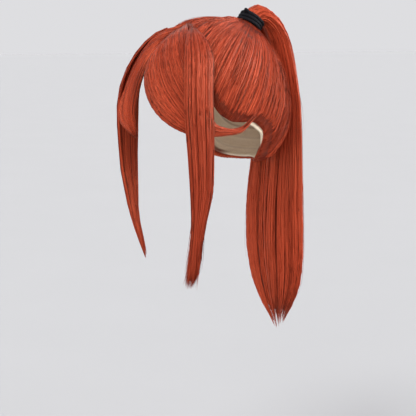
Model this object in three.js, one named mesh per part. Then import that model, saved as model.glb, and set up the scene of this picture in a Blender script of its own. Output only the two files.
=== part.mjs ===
// A wig with a high ponytail, a parted fringe and two long side locks, in millimetres.
// +Z is up, the wearer looks along -Y and the wearer's left is +X.
// The origin is the point inside the crown of the cap where the top of the head sits.
import * as THREE from "three";

const radians = THREE.MathUtils.degToRad;

// The head form that the cap fits, as half sizes from its widest level.
const headSide = 78;
const headFront = 96;
const headBack = 95;
const crownHeight = 105;
const napeHeight = 82;
const squareness = 2.1;

// The cap, the hair combed back over it, and the gaps on the cap and between layers of hair.
const capWall = 1.5;
const seatGap = 0.8;
const layerGap = 0.6;
const hairDepth = 9.3;
const hairLump = 1.1;

// The tie: where it sits over the crown, its lean, and its elastic cords.
const tieTilt = 29;
const tieLean = 36;
const tailNeck = 12.6;
const tieGap = 0.6;
const cordSize = 4.5;
const cordTurns = 3;

// The ponytail: how far it arches back behind the tie, and how far it falls below the arch.
const archReach = 58;
const fallLength = 325;
const tailSide = 63;
const tailDepth = 17;
const tailShift = 20;
const tailLump = 0.05;

// The fringe and the side locks.
const fringeDepth = 4.2;
const lockDepth = 6;
const leftLockFall = 218;
const rightLockFall = 206;
const lockLump = 0.7;
const rightLockSwept = 36.5;
const rightLockTurn = radians(34);
const partGap = 0.6;
const clearanceReach = 4;

// How finely the solids are faceted.
const capColumns = 40;
const capRings = 9;
const hairRings = 11;
const facetsPerLump = 3;
const ringCrowding = 1.15;
const fringeSections = 20;
const lockSections = 24;
const tailSections = 28;
const tailRibs = 9;
const tieSides = 28;

// How the hair's edges are shaped: where the combed hair rolls in and how far, over how many
// degrees laid hair climbs its edge, and how thick laid hair is at its own edges.
const rollFrom = 0.84;
const rollIn = 0.85;
const climbOver = 6;
const laidEdge = 0.25;

const centre = new THREE.Vector3(0, 0, -crownHeight);
const degrees = THREE.MathUtils.radToDeg;
const { lerp, smoothstep, clamp } = THREE.MathUtils;

// Edge of the combed hair and of the cap, in degrees from the tie, at each bearing round the tie.
// Bearing 0 is ahead and 180 behind; both sides are alike. Bulk is a share of the hair depth.
const hairline = [
  { bearing: 0, hair: 48.5, cap: 89, bulk: 0.84 },
  { bearing: 20, hair: 57, cap: 89, bulk: 0.84 },
  { bearing: 36, hair: 72, cap: 89.5, bulk: 0.84 },
  { bearing: 47, hair: 88, cap: 91, bulk: 0.82 },
  { bearing: 55, hair: 96, cap: 96, bulk: 0.78 },
  { bearing: 60, hair: 100, cap: 98, bulk: 0.76 },
  { bearing: 68, hair: 104.2, cap: 101.5, bulk: 0.76 },
  { bearing: 81, hair: 105, cap: 102, bulk: 0.8 },
  { bearing: 92, hair: 99.8, cap: 99.5, bulk: 0.88 },
  { bearing: 102, hair: 94, cap: 98, bulk: 0.95 },
  { bearing: 118, hair: 95.3, cap: 98, bulk: 1 },
  { bearing: 127, hair: 104.7, cap: 103.5, bulk: 1 },
  { bearing: 135, hair: 114.7, cap: 111, bulk: 1 },
  { bearing: 144, hair: 118.3, cap: 114, bulk: 1 },
  { bearing: 153, hair: 115.5, cap: 112.5, bulk: 1 },
  { bearing: 167, hair: 111, cap: 109.5, bulk: 1 },
  { bearing: 180, hair: 108.5, cap: 107, bulk: 1 },
];

// The combed hair, in panels between two bearings, each lumped into so many locks.
const panels = [
  { name: "crown_hair", from: -40, to: 40, locks: 5 },
  { name: "side_hair_left", from: 40, to: 100, locks: 5 },
  { name: "nape_hair", from: 100, to: 260, locks: 11 },
  { name: "side_hair_right", from: 260, to: 320, locks: 5 },
];

// The left fringe from its part to its tip over the ear, by its front and back edges.
// Out is a share of the head's side, ahead of its front, and drop of the crown's height.
const leftFringeRows = [
  { frontOut: 0.0, frontAhead: 0.84, frontDrop: 0.27, backOut: 0.0, backAhead: 0.37, backDrop: 0.0, thick: 0.7 },
  { frontOut: 0.03, frontAhead: 1.01, frontDrop: 0.5, backOut: 0.34, backAhead: 0.53, backDrop: 0.07, thick: 0.9 },
  { frontOut: 0.18, frontAhead: 1.1, frontDrop: 0.71, backOut: 0.62, backAhead: 0.68, backDrop: 0.27, thick: 1 },
  { frontOut: 0.44, frontAhead: 1.14, frontDrop: 0.91, backOut: 0.87, backAhead: 0.71, backDrop: 0.55, thick: 1 },
  { frontOut: 0.7, frontAhead: 1.09, frontDrop: 1.08, backOut: 1.04, backAhead: 0.62, backDrop: 0.79, thick: 1 },
  { frontOut: 0.9, frontAhead: 0.945, frontDrop: 1.2, backOut: 1.11, backAhead: 0.59, backDrop: 1.0, thick: 1 },
  { frontOut: 1.0, frontAhead: 0.76, frontDrop: 1.25, backOut: 1.13, backAhead: 0.55, backDrop: 1.11, thick: 1 },
  { frontOut: 1.08, frontAhead: 0.52, frontDrop: 1.275, backOut: 1.14, backAhead: 0.44, backDrop: 1.17, thick: 0.95 },
  { frontOut: 1.13, frontAhead: 0.25, frontDrop: 1.25, backOut: 1.14, backAhead: 0.23, backDrop: 1.2, thick: 0.8 },
  { frontOut: 1.14, frontAhead: 0.07, frontDrop: 1.2, backOut: 1.14, backAhead: 0.08, backDrop: 1.15, thick: 0.65 },
  { frontOut: 1.15, frontAhead: -0.1, frontDrop: 1.03, backOut: 1.15, backAhead: -0.08, backDrop: 1.01, thick: 0.4 },
];

// The right fringe hangs further forward, as a curtain whose tip curls in before the cheek.
const rightFringeRows = [
  { frontOut: 0.0, frontAhead: 0.84, frontDrop: 0.27, backOut: 0.0, backAhead: 0.37, backDrop: 0.0, thick: 0.7 },
  { frontOut: 0.04, frontAhead: 0.94, frontDrop: 0.43, backOut: 0.4, backAhead: 0.5, backDrop: 0.06, thick: 0.9 },
  { frontOut: 0.06, frontAhead: 1, frontDrop: 0.57, backOut: 0.67, backAhead: 0.64, backDrop: 0.27, thick: 1 },
  { frontOut: 0.08, frontAhead: 1.045, frontDrop: 0.71, backOut: 0.93, backAhead: 0.67, backDrop: 0.53, thick: 1 },
  { frontOut: 0.12, frontAhead: 1.065, frontDrop: 0.85, backOut: 1.01, backAhead: 0.77, backDrop: 0.76, thick: 1 },
  { frontOut: 0.17, frontAhead: 1.075, frontDrop: 0.99, backOut: 0.94, backAhead: 0.95, backDrop: 0.95, thick: 1 },
  { frontOut: 0.21, frontAhead: 1.065, frontDrop: 1.12, backOut: 0.74, backAhead: 1.06, backDrop: 1.12, thick: 0.95 },
  { frontOut: 0.235, frontAhead: 1.035, frontDrop: 1.24, backOut: 0.49, backAhead: 1.06, backDrop: 1.26, thick: 0.75 },
  { frontOut: 0.27, frontAhead: 1, frontDrop: 1.34, backOut: 0.3, backAhead: 1.01, backDrop: 1.35, thick: 0.4 },
];

// The left side lock from its root beside the part to its tip, the same way. Fall is a share of
// how far it hangs below the head's widest level; swept is a share of the right one's sweep.
const lockRows = [
  { frontOut: 0.33, frontAhead: 0.5, frontDrop: 0.035, backOut: 0.49, backAhead: 0.46, backDrop: 0.055, fall: 0, swept: 0, thick: 0.35 },
  { frontOut: 0.47, frontAhead: 0.61, frontDrop: 0.131, backOut: 0.66, backAhead: 0.45, backDrop: 0.131, fall: 0, swept: -0.02, thick: 0.6 },
  { frontOut: 0.615, frontAhead: 0.71, frontDrop: 0.239, backOut: 0.82, backAhead: 0.45, backDrop: 0.239, fall: 0, swept: -0.04, thick: 0.8 },
  { frontOut: 0.77, frontAhead: 0.8, frontDrop: 0.414, backOut: 0.95, backAhead: 0.455, backDrop: 0.414, fall: 0, swept: -0.06, thick: 0.9 },
  { frontOut: 0.9, frontAhead: 0.87, frontDrop: 0.647, backOut: 1.05, backAhead: 0.52, backDrop: 0.647, fall: 0, swept: -0.1, thick: 1 },
  { frontOut: 0.985, frontAhead: 0.91, frontDrop: 0.903, backOut: 1.12, backAhead: 0.555, backDrop: 0.903, fall: 0, swept: -0.1, thick: 1 },
  { frontOut: 1.03, frontAhead: 0.91, frontDrop: 0.903, backOut: 1.14, backAhead: 0.555, backDrop: 0.903, fall: 0.145, swept: -0.08, thick: 1 },
  { frontOut: 1.04, frontAhead: 0.88, frontDrop: 0.903, backOut: 1.155, backAhead: 0.565, backDrop: 0.903, fall: 0.304, swept: -0.08, thick: 1 },
  { frontOut: 1.04, frontAhead: 0.855, frontDrop: 0.903, backOut: 1.155, backAhead: 0.575, backDrop: 0.903, fall: 0.471, swept: -0.05, thick: 1 },
  { frontOut: 1.02, frontAhead: 0.83, frontDrop: 0.903, backOut: 1.12, backAhead: 0.62, backDrop: 0.903, fall: 0.594, swept: 0.03, thick: 1 },
  { frontOut: 1, frontAhead: 0.82, frontDrop: 0.903, backOut: 1.07, backAhead: 0.665, backDrop: 0.903, fall: 0.71, swept: 0.11, thick: 0.95 },
  { frontOut: 0.98, frontAhead: 0.83, frontDrop: 0.903, backOut: 1.03, backAhead: 0.69, backDrop: 0.903, fall: 0.826, swept: 0.3, thick: 0.85 },
  { frontOut: 0.95, frontAhead: 0.855, frontDrop: 0.903, backOut: 1, backAhead: 0.71, backDrop: 0.903, fall: 0.928, swept: 0.53, thick: 0.7 },
  { frontOut: 0.92, frontAhead: 0.875, frontDrop: 0.903, backOut: 0.96, backAhead: 0.755, backDrop: 0.903, fall: 1, swept: 0.68, thick: 0.4 },
];

// The ponytail's arch over the tie: behind and above the tie as shares of the arch's reach.
const archRows = [
  { behind: 0.14, above: 0.16, aside: 0, wide: 0.21, deep: 0.7 },
  { behind: 0.27, above: 0.15, aside: 0, wide: 0.25, deep: 0.62 },
  { behind: 0.45, above: 0.045, aside: 0, wide: 0.31, deep: 0.6 },
  { behind: 0.62, above: -0.17, aside: -0.08, wide: 0.38, deep: 0.59 },
  { behind: 0.76, above: -0.47, aside: -0.2, wide: 0.45, deep: 0.59 },
  { behind: 0.87, above: -0.85, aside: -0.35, wide: 0.51, deep: 0.58 },
  { behind: 0.98, above: -1.36, aside: -0.5, wide: 0.57, deep: 0.56 },
];

// The fall: the drop is a share of its length, behind as above, the rest shares of the tail's sizes.
const fallRows = [
  { behind: 1.02, drop: 0.074, aside: -0.65, wide: 0.69, deep: 0.6 },
  { behind: 1, drop: 0.222, aside: -0.85, wide: 0.85, deep: 0.75 },
  { behind: 0.95, drop: 0.443, aside: -1, wide: 0.985, deep: 0.93 },
  { behind: 0.94, drop: 0.61, aside: -1, wide: 1.03, deep: 1 },
  { behind: 0.95, drop: 0.74, aside: -0.93, wide: 1, deep: 0.95 },
  { behind: 0.97, drop: 0.85, aside: -0.85, wide: 0.84, deep: 0.78 },
  { behind: 0.98, drop: 0.94, aside: -0.75, wide: 0.52, deep: 0.52 },
  { behind: 0.99, drop: 1, aside: -0.7, wide: 0.2, deep: 0.28 },
];

// A cubic through four neighbouring values, at a share between the middle two.
function cubic(a, b, c, d, share) {
  const before = (c - a) / 2;
  const after = (d - b) / 2;
  const s2 = share * share;
  const s3 = s2 * share;
  return (2 * s3 - 3 * s2 + 1) * b + (s3 - 2 * s2 + share) * before + (3 * s2 - 2 * s3) * c + (s3 - s2) * after;
}

// Every column of a table, smoothed between its rows, at a share of the way down it.
function rowAt(rows, share) {
  const place = clamp(share, 0, 1) * (rows.length - 1);
  const k = Math.min(Math.floor(place), rows.length - 2);
  const four = [rows[Math.max(k - 1, 0)], rows[k], rows[k + 1], rows[Math.min(k + 2, rows.length - 1)]];
  const row = {};
  for (const column of Object.keys(rows[0])) {
    row[column] = cubic(...four.map((r) => r[column]), place - k);
  }
  return row;
}

// A column of the hairline table at any bearing.
function atBearing(bearing, column) {
  const turned = Math.abs(THREE.MathUtils.euclideanModulo(bearing + 180, 360) - 180);
  const k = clamp(hairline.findIndex((r) => r.bearing >= turned), 1, hairline.length - 1);
  const [low, high] = [hairline[k - 1], hairline[k]];
  return lerp(low[column], high[column], (turned - low.bearing) / (high.bearing - low.bearing));
}

// Distance from the head's centre to the head form in a direction.
function headRadius(d) {
  const across = Math.abs(d.x) / headSide;
  const along = Math.abs(d.y) / (d.y < 0 ? headFront : headBack);
  const upright = Math.abs(d.z) / (d.z > 0 ? crownHeight : napeHeight);
  return (across ** squareness + along ** squareness + upright ** squareness) ** (-1 / squareness);
}

const capRadius = (d) => headRadius(d) + capWall;

// Directions from the head's centre, by bearing and by degrees away from the tie.
const pole = new THREE.Vector3(0, Math.sin(radians(tieTilt)), Math.cos(radians(tieTilt)));
const aheadOfPole = new THREE.Vector3(0, -Math.cos(radians(tieTilt)), Math.sin(radians(tieTilt)));

function combedDirection(bearing, reach) {
  const [b, r] = [radians(bearing), radians(reach)];
  return new THREE.Vector3(Math.sin(r) * Math.sin(b), 0, 0)
    .addScaledVector(aheadOfPole, Math.sin(r) * Math.cos(b))
    .addScaledVector(pole, Math.cos(r));
}

const reachOf = (d) => degrees(Math.acos(clamp(d.dot(pole), -1, 1)));
const bearingOf = (d) => degrees(Math.atan2(d.x, d.dot(aheadOfPole)));

function fromCentre(direction, radius) {
  return direction.clone().multiplyScalar(radius).add(centre);
}

// The tie's ring rests on the hair round the ponytail's neck.
const tieAxis = new THREE.Vector3(0, Math.sin(radians(tieLean)), Math.cos(radians(tieLean)));
const tieInner = tailNeck + tieGap;
const tieOuter = tieInner + cordSize;
const tieWidth = cordTurns * cordSize;
const tieSlant = radians(tieLean - tieTilt);
const poleHair = capRadius(pole) + seatGap + hairDepth * atBearing(180, "bulk") + hairLump;
const tieHeight = poleHair + layerGap + (tieWidth / 2) * Math.cos(tieSlant) + tieOuter * Math.sin(Math.abs(tieSlant));
const tieCentre = fromCentre(pole, tieHeight);
const tieFoot = tieCentre.clone().addScaledVector(tieAxis, -tieWidth / 2 - layerGap);
const neckReach = degrees(Math.asin((tieInner + layerGap) / (capRadius(pole) + seatGap)));
const moundReach = 3 * neckReach; // the hair starts to rise to the tie this far from it

// Outer surface of the combed hair; near the tie it rises to the ring's underside.
function combedRadius(d, lump = 0) {
  const reach = reachOf(d);
  const bearing = bearingOf(d);
  const share = clamp((reach - neckReach) / (atBearing(bearing, "hair") - neckReach), 0, 1);
  const roll = Math.sqrt(1 - rollIn * smoothstep(share, rollFrom, 1) ** 2);
  const hair = capRadius(d) + seatGap + hairDepth * atBearing(bearing, "bulk") * roll;
  const ring = tieFoot.clone().sub(centre).dot(tieAxis) / d.dot(tieAxis);
  const mound = 1 - smoothstep(reach, neckReach, moundReach);
  return lerp(hair + hairLump * lump * (1 - mound), ring, mound);
}

// The lowest level for hair laid over the cap, which climbs over the combed hair where that lies.
function laidRadius(point) {
  const d = point.clone().sub(centre).normalize();
  const inside = atBearing(bearingOf(d), "hair") - reachOf(d);
  const climb = smoothstep(inside, -1 - climbOver, -1);
  return lerp(capRadius(d), combedRadius(d, 1), climb) + layerGap;
}

function liftClear(point, radius) {
  const away = point.clone().sub(centre);
  return away.length() < radius ? away.setLength(radius).add(centre) : point;
}

// A point lifted away from a hub until it clears a solid that lies below it.
function liftOver(solid, point, hub) {
  const away = point.clone().sub(hub);
  const mesh = new THREE.Mesh(solid, new THREE.MeshBasicMaterial({ side: THREE.DoubleSide }));
  let clear = away.length();
  for (const [along, up] of [[0, 0], [1, 0], [-1, 0], [0, 1], [0, -1]]) {
    const level = new THREE.Vector3(-away.y, away.x, 0).setLength(along * clearanceReach);
    const aim = away.clone().add(level).add(new THREE.Vector3(0, 0, up * clearanceReach));
    const hits = new THREE.Raycaster(hub, aim.normalize()).intersectObject(mesh);
    if (hits.length) clear = Math.max(clear, hits.at(-1).distance + layerGap);
  }
  return away.setLength(clear).add(hub);
}

// A closed solid from rings of points, every ring with as many, capped by fans at both ends.
function loft(rings) {
  const around = rings[0].length;
  const positions = [];
  const triangles = [];
  for (const ring of rings) {
    for (const p of ring) positions.push(p.x, p.y, p.z);
  }
  for (let i = 0; i < rings.length - 1; i++) {
    for (let j = 0; j < around; j++) {
      const [a, b] = [i * around + j, i * around + ((j + 1) % around)];
      triangles.push(a, b, b + around, a, b + around, a + around);
    }
  }
  for (const [ring, start, turn] of [[rings[0], 0, 1], [rings.at(-1), (rings.length - 1) * around, -1]]) {
    const middle = ring.reduce((sum, p) => sum.add(p), new THREE.Vector3()).divideScalar(around);
    const hub = positions.length / 3;
    positions.push(middle.x, middle.y, middle.z);
    for (let j = 0; j < around; j++) {
      const pair = [start + ((j + 1) % around), start + j];
      triangles.push(hub, ...(turn > 0 ? pair : pair.reverse()));
    }
  }
  return facedOut(positions, triangles);
}

// A closed solid from an inner and an outer grid of points with the same rows and columns.
function wall(inner, outer) {
  const [rows, columns] = [inner.length, inner[0].length];
  const positions = [...inner, ...outer].flatMap((row) => row.flatMap((p) => [p.x, p.y, p.z]));
  const triangles = [];
  const quad = (a, b, c, d) => triangles.push(a, b, c, a, c, d);
  const at = (layer, i, j) => (layer * rows + i) * columns + j;
  for (let i = 0; i < rows - 1; i++) {
    for (let j = 0; j < columns - 1; j++) {
      quad(at(1, i, j), at(1, i + 1, j), at(1, i + 1, j + 1), at(1, i, j + 1));
      quad(at(0, i, j), at(0, i, j + 1), at(0, i + 1, j + 1), at(0, i + 1, j));
    }
    quad(at(0, i, 0), at(0, i + 1, 0), at(1, i + 1, 0), at(1, i, 0));
    quad(at(1, i, columns - 1), at(1, i + 1, columns - 1), at(0, i + 1, columns - 1), at(0, i, columns - 1));
  }
  for (let j = 0; j < columns - 1; j++) {
    quad(at(0, 0, j), at(1, 0, j), at(1, 0, j + 1), at(0, 0, j + 1));
    quad(at(1, rows - 1, j), at(0, rows - 1, j), at(0, rows - 1, j + 1), at(1, rows - 1, j + 1));
  }
  return facedOut(positions, triangles);
}

// A geometry whose faces are turned outwards, whichever way its rings ran.
function facedOut(positions, triangles) {
  const corner = (k) => new THREE.Vector3().fromArray(positions, 3 * triangles[k]);
  let volume = 0;
  for (let k = 0; k < triangles.length; k += 3) {
    volume += corner(k).dot(corner(k + 1).cross(corner(k + 2)));
  }
  const geometry = new THREE.BufferGeometry();
  geometry.setAttribute("position", new THREE.Float32BufferAttribute(positions, 3));
  geometry.setIndex(volume > 0 ? triangles : triangles.reverse());
  geometry.computeVertexNormals();
  return geometry;
}

function mirrored(geometry) {
  const flipped = geometry.clone().scale(-1, 1, 1);
  return facedOut(Array.from(flipped.attributes.position.array), Array.from(flipped.index.array));
}

const range = (count) => Array.from({ length: count + 1 }, (_, i) => i / count);

// The cap is a dome from the crown to its edge, closed at the pole.
function capGeometry() {
  const positions = [];
  const triangles = [];
  const layers = [capRadius, headRadius];
  const perLayer = capRings * capColumns + 1;
  for (const radius of layers) {
    const top = fromCentre(pole, radius(pole));
    positions.push(top.x, top.y, top.z);
    for (let i = 1; i <= capRings; i++) {
      for (let j = 0; j < capColumns; j++) {
        const bearing = (360 * j) / capColumns;
        const d = combedDirection(bearing, (atBearing(bearing, "cap") * i) / capRings);
        const p = fromCentre(d, radius(d));
        positions.push(p.x, p.y, p.z);
      }
    }
  }
  const at = (layer, i, j) => layer * perLayer + 1 + (i - 1) * capColumns + (j % capColumns);
  for (let j = 0; j < capColumns; j++) {
    triangles.push(0, at(0, 1, j), at(0, 1, j + 1));
    triangles.push(perLayer, at(1, 1, j + 1), at(1, 1, j));
    for (let i = 1; i < capRings; i++) {
      triangles.push(at(0, i, j), at(0, i + 1, j), at(0, i + 1, j + 1));
      triangles.push(at(0, i, j), at(0, i + 1, j + 1), at(0, i, j + 1));
      triangles.push(at(1, i, j), at(1, i + 1, j + 1), at(1, i + 1, j));
      triangles.push(at(1, i, j), at(1, i, j + 1), at(1, i + 1, j + 1));
    }
    const [outer, inner] = [at(0, capRings, j), at(1, capRings, j)];
    const [nextOuter, nextInner] = [at(0, capRings, j + 1), at(1, capRings, j + 1)];
    triangles.push(outer, inner, nextInner, outer, nextInner, nextOuter);
  }
  return facedOut(positions, triangles);
}

// A panel of combed hair: lumped locks that run from its edge up to the tie.
function panelGeometry({ from, to, locks }) {
  const columns = locks * facetsPerLump;
  const [inner, outer] = [[], []];
  for (const down of range(hairRings)) {
    const [low, high] = [[], []];
    for (const across of range(columns)) {
      const middle = lerp(from, to, across);
      const reach = lerp(neckReach, atBearing(middle, "hair"), down ** ringCrowding);
      const circle = capRadius(pole) * Math.sin(radians(reach));
      const inset = degrees(layerGap / circle) * (1 - 2 * across);
      const d = combedDirection(middle + inset, reach);
      const lump = -Math.cos(2 * Math.PI * locks * across);
      low.push(fromCentre(d, capRadius(d) + seatGap));
      high.push(fromCentre(d, combedRadius(d, lump)));
    }
    inner.push(low);
    outer.push(high);
  }
  return wall(inner, outer);
}

// A lock laid as a sheet between its front and back edges; it bows out round the head.
function laidGeometry({ rows, fall, depth, locks, sections, inset, swept, under }) {
  const columns = locks * facetsPerLump;
  const place = (row, edge) => {
    const drop = crownHeight * row[edge + "Drop"] + fall * (row.fall ?? 0);
    return new THREE.Vector3(headSide * row[edge + "Out"], -headFront * row[edge + "Ahead"], -drop);
  };
  const inward = new THREE.Vector3(-Math.cos(rightLockTurn), Math.sin(rightLockTurn), 0);
  const hub = (p) => new THREE.Vector3(0, 0, Math.min(p.z, centre.z));
  const rings = range(sections).map((down) => {
    const row = rowAt(rows, down);
    const [front, back] = [place(row, "front"), place(row, "back")];
    for (const p of [front, back]) p.addScaledVector(inward, swept * (row.swept ?? 0));
    const [near, far] = [front.distanceTo(hub(front)), back.distanceTo(hub(back))];
    const [inner, outer] = [[], []];
    for (const across of range(columns)) {
      const chord = front.clone().lerp(back, across);
      const away = chord.clone().sub(hub(chord)).setLength(lerp(near, far, across));
      let base = away.clone().add(hub(chord));
      base = liftClear(base, laidRadius(base));
      if (under) base = liftOver(under, base, hub(base));
      base.x = Math.max(base.x, inset);
      const crown = lerp(1, laidEdge, Math.abs(2 * across - 1) ** 3);
      const lump = (1 - Math.cos(2 * Math.PI * locks * across)) / 2;
      const rise = depth * row.thick * crown + lockLump * row.thick * (lump - 1);
      const outward = base.clone().sub(hub(base)).normalize();
      inner.push(base);
      outer.push(base.clone().addScaledVector(outward, rise));
    }
    return [...inner, ...outer.reverse()];
  });
  return loft(rings);
}

// The ponytail: its neck stands on the cap inside the tie, then it arches back and falls.
function tailGeometry() {
  const stations = [];
  const neck = (centrePoint) => stations.push({ at: centrePoint, wide: tailNeck, deep: tailNeck });
  neck(fromCentre(pole, capRadius(pole) + 2 * seatGap));
  neck(tieCentre.clone().addScaledVector(tieAxis, -tieWidth / 2));
  neck(tieCentre.clone().addScaledVector(tieAxis, tieWidth / 2));
  for (const row of archRows) {
    const at = new THREE.Vector3(tailShift * row.aside, archReach * row.behind, archReach * row.above).add(
      new THREE.Vector3(0, tieCentre.y, tieCentre.z),
    );
    stations.push({ at, wide: tailSide * row.wide, deep: tailDepth * row.deep });
  }
  const archEnd = stations.at(-1).at.z;
  for (const row of fallRows) {
    const at = new THREE.Vector3(
      tailShift * row.aside,
      tieCentre.y + archReach * row.behind,
      archEnd - fallLength * row.drop,
    );
    stations.push({ at, wide: tailSide * row.wide, deep: tailDepth * row.deep });
  }
  const path = new THREE.CatmullRomCurve3(stations.map((s) => s.at), false, "centripetal");
  const neckEnd = 2 / (stations.length - 1);
  const sides = facetsPerLump * tailRibs;
  const rings = range(tailSections).map((share) => {
    const size = rowAt(stations.map(({ wide, deep }) => ({ wide, deep })), share);
    const middle = path.getPoint(share);
    const tangent = path.getTangent(share);
    const aside = new THREE.Vector3(1, 0, 0).addScaledVector(tangent, -tangent.x).normalize();
    const behind = new THREE.Vector3().crossVectors(aside, tangent).normalize();
    const lumps = tailLump * smoothstep(share, neckEnd, 3 * neckEnd);
    return range(sides)
      .slice(0, sides)
      .map((turn) => {
        const angle = 2 * Math.PI * turn;
        const lump = 1 + lumps * (Math.cos(tailRibs * angle) - 1);
        const p = middle
          .clone()
          .addScaledVector(aside, size.wide * lump * Math.cos(angle))
          .addScaledVector(behind, size.deep * lump * Math.sin(angle));
        return share > 1.5 * neckEnd ? liftClear(p, laidRadius(p)) : p;
      });
  });
  return loft(rings);
}

// The tie: turns of elastic cord side by side, as one ring round the neck.
function tieGeometry() {
  const profile = [new THREE.Vector2(tieInner, -tieWidth / 2), new THREE.Vector2(tieInner, tieWidth / 2)];
  for (const turn of range(cordTurns).slice(0, cordTurns).reverse()) {
    for (const angle of [60, 0, -60]) {
      const middle = tieWidth * (turn - 0.5) + cordSize / 2;
      const bulge = new THREE.Vector2(Math.cos(radians(angle)), Math.sin(radians(angle)));
      profile.push(new THREE.Vector2(tieInner + cordSize / 2, middle).addScaledVector(bulge, cordSize / 2));
    }
  }
  profile.push(profile[0].clone());
  const geometry = new THREE.LatheGeometry(profile.reverse(), tieSides);
  geometry.rotateX(Math.PI / 2);
  return geometry;
}

const hairRed = new THREE.MeshStandardMaterial({ color: 0xb5432a, roughness: 0.5, metalness: 0 });
const capNet = new THREE.MeshStandardMaterial({ color: 0xc9b08e, roughness: 0.9, metalness: 0 });
const tieBlack = new THREE.MeshStandardMaterial({ color: 0x17181c, roughness: 0.85, metalness: 0 });

function piece(name, geometry, material) {
  const mesh = new THREE.Mesh(geometry, material);
  mesh.name = name;
  return mesh;
}

const wig = new THREE.Group();
wig.add(piece("cap", capGeometry(), capNet));
for (const panel of panels) wig.add(piece(panel.name, panelGeometry(panel), hairRed));

for (const right of [false, true]) {
  const fringe = laidGeometry({
    rows: right ? rightFringeRows : leftFringeRows,
    fall: 0,
    depth: fringeDepth,
    locks: 4,
    sections: fringeSections,
    inset: partGap / 2,
    swept: 0,
    under: null,
  });
  const lock = laidGeometry({
    rows: lockRows,
    fall: right ? rightLockFall : leftLockFall,
    depth: lockDepth,
    locks: 3,
    sections: lockSections,
    inset: partGap,
    swept: right ? rightLockSwept : 0,
    under: fringe,
  });
  const side = right ? "right" : "left";
  wig.add(piece("fringe_" + side, right ? mirrored(fringe) : fringe, hairRed));
  wig.add(piece("side_lock_" + side, right ? mirrored(lock) : lock, hairRed));
}

wig.add(piece("ponytail", tailGeometry(), hairRed));

const tie = piece("hair_tie", tieGeometry(), tieBlack);
tie.position.copy(tieCentre);
tie.rotation.x = -radians(tieLean);
wig.add(tie);

export default wig;
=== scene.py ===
import math

import bpy
import numpy as np
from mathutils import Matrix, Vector
from mathutils.bvhtree import BVHTree


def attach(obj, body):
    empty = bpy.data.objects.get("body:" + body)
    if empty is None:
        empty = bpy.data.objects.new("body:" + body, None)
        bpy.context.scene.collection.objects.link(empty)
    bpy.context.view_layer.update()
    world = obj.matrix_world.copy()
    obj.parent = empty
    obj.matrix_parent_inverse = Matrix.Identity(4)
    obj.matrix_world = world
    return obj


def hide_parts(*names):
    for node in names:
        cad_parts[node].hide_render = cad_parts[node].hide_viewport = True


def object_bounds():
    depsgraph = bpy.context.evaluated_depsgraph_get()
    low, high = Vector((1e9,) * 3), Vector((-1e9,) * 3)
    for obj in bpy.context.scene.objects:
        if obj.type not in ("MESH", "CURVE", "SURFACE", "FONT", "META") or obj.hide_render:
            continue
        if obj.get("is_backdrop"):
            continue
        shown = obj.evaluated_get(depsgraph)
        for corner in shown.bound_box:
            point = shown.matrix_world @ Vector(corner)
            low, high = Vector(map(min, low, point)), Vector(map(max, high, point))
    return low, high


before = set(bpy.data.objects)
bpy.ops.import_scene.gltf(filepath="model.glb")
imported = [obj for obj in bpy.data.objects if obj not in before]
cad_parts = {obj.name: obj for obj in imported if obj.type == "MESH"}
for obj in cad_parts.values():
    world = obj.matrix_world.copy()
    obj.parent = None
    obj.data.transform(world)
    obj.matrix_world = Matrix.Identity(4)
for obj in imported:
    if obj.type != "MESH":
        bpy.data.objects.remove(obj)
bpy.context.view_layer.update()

# The cap is a dome of stretch net, open below and in front, that every row of hair is sewn
# to. Rows of narrow weft tape run round inside it, and a soft folded binding finishes its edge.
head_side, head_front, head_back = 0.078, 0.096, 0.095
crown_height, nape_height, squareness = 0.105, 0.082, 2.1
cap_wall, seat_gap, layer_gap = 0.0015, 0.0008, 0.0006
centre = np.array([0, 0, -crown_height])
tie_tilt = math.radians(29)
pole = np.array([0, math.sin(tie_tilt), math.cos(tie_tilt)])
ahead_of_pole = np.array([0, -math.cos(tie_tilt), math.sin(tie_tilt)])

# Edges in degrees from the tie at each bearing round it, and the hair's bulk as a share.
hairline = np.array(
    [  # bearing, hair, cap, bulk
        [0, 48.5, 89, 0.84],
        [20, 57, 89, 0.84],
        [36, 72, 89.5, 0.84],
        [47, 88, 91, 0.82],
        [55, 96, 96, 0.78],
        [60, 100, 98, 0.76],
        [68, 104.2, 101.5, 0.76],
        [81, 105, 102, 0.8],
        [92, 99.8, 99.5, 0.88],
        [102, 94, 98, 0.95],
        [118, 95.3, 98, 1],
        [127, 104.7, 103.5, 1],
        [135, 114.7, 111, 1],
        [144, 118.3, 114, 1],
        [153, 115.5, 112.5, 1],
        [167, 111, 109.5, 1],
        [180, 108.5, 107, 1],
    ]
)
hair_edge, cap_edge, hair_bulk = 1, 2, 3
corner_reach, corner_step, corner_softness = 6, 1.5, 3.2


def at_bearing(bearing, column):
    """A column of the hairline, eased round its corners and the same on both sides."""
    nearby = np.arange(-corner_reach, corner_reach + 1, corner_step)
    turned = np.asarray(bearing)[..., None] + nearby
    turned = np.abs((turned + 180) % 360 - 180)
    weight = np.exp(-((nearby / corner_softness) ** 2))
    return (np.interp(turned, hairline[:, 0], hairline[:, column]) * weight).sum(-1) / weight.sum()


def head_radius(way):
    """How far the inside of the cap lies from its centre in a way of length 1."""
    across = np.abs(way[..., 0]) / head_side
    along = np.abs(way[..., 1]) / np.where(way[..., 1] < 0, head_front, head_back)
    upright = np.abs(way[..., 2]) / np.where(way[..., 2] > 0, crown_height, nape_height)
    return (across**squareness + along**squareness + upright**squareness) ** (-1 / squareness)


def combed_way(bearing, reach):
    """The way from the centre at so many degrees round the tie and away from it."""
    turned, tilted = np.radians(bearing)[..., None], np.radians(reach)[..., None]
    aside = np.sin(tilted) * np.sin(turned) * np.array([1.0, 0, 0])
    return aside + np.sin(tilted) * np.cos(turned) * ahead_of_pole + np.cos(tilted) * pole


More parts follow.
